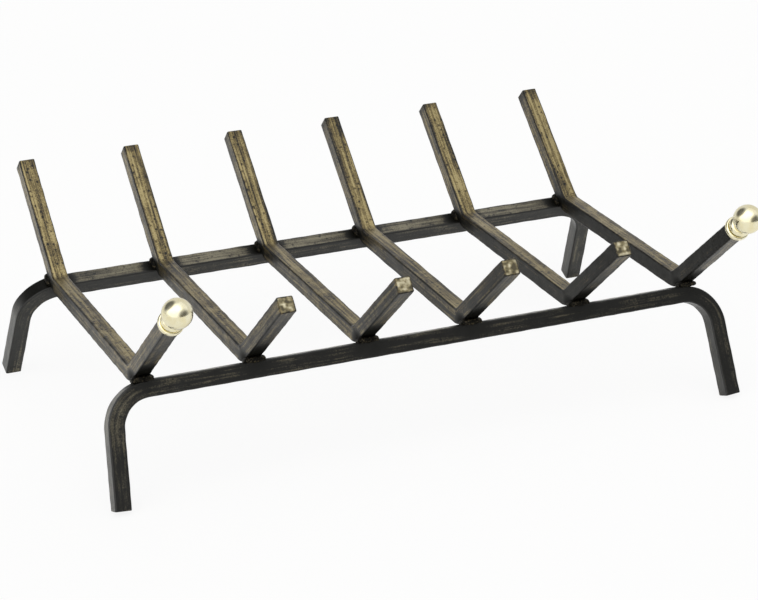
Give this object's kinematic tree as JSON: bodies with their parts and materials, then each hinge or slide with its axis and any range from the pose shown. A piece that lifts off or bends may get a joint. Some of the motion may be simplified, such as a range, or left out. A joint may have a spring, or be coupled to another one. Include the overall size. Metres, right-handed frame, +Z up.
{
  "type": "log grate",
  "caption": "Welded steel fireplace log grate: square bars with raised front and rear prongs across splayed standing frames, with brass ball finials at its front corners",
  "frame": {"origin": "on the floor, under the middle of the grate's overall width and depth", "axes": "+X along the rails to the right seen from the front, +Y to the rear, +Z up"},
  "size_m": [0.6486, 0.4655, 0.2276],
  "materials": {
    "frame_steel": "hot-rolled square bar, blackened and oiled, near-black with a faint green-grey sheen",
    "bar_steel": "hot-rolled square bar, blackened and oiled, streaked olive brown with worn paler edges",
    "weld_steel": "rippled weld metal, dark scale",
    "brass": "turned and polished pale brass",
    "stud_steel": "plain steel stud"
  },
  "bodies": {
    "root": {"front_frame": "frame_steel", "rear_frame": "frame_steel", "log_bar_1": "bar_steel", "log_bar_2": "bar_steel", "log_bar_3": "bar_steel", "log_bar_4": "bar_steel", "log_bar_5": "bar_steel", "log_bar_6": "bar_steel", "weld_front_1_left": "weld_steel", "weld_front_1_right": "weld_steel", "weld_rear_1_left": "weld_steel", "weld_rear_1_right": "weld_steel", "weld_front_2_left": "weld_steel", "weld_front_2_right": "weld_steel", "weld_rear_2_left": "weld_steel", "weld_rear_2_right": "weld_steel", "weld_front_3_left": "weld_steel", "weld_front_3_right": "weld_steel", "weld_rear_3_left": "weld_steel", "weld_rear_3_right": "weld_steel", "weld_front_4_left": "weld_steel", "weld_front_4_right": "weld_steel", "weld_rear_4_left": "weld_steel", "weld_rear_4_right": "weld_steel", "weld_front_5_left": "weld_steel", "weld_front_5_right": "weld_steel", "weld_rear_5_left": "weld_steel", "weld_rear_5_right": "weld_steel", "weld_front_6_left": "weld_steel", "weld_front_6_right": "weld_steel", "weld_rear_6_left": "weld_steel", "weld_rear_6_right": "weld_steel", "finial_collar_left": "brass", "finial_ball_left": "brass", "finial_collar_right": "brass", "finial_ball_right": "brass", "finial_stud_left": "stud_steel", "finial_stud_right": "stud_steel"}
  },
  "joints": []
}
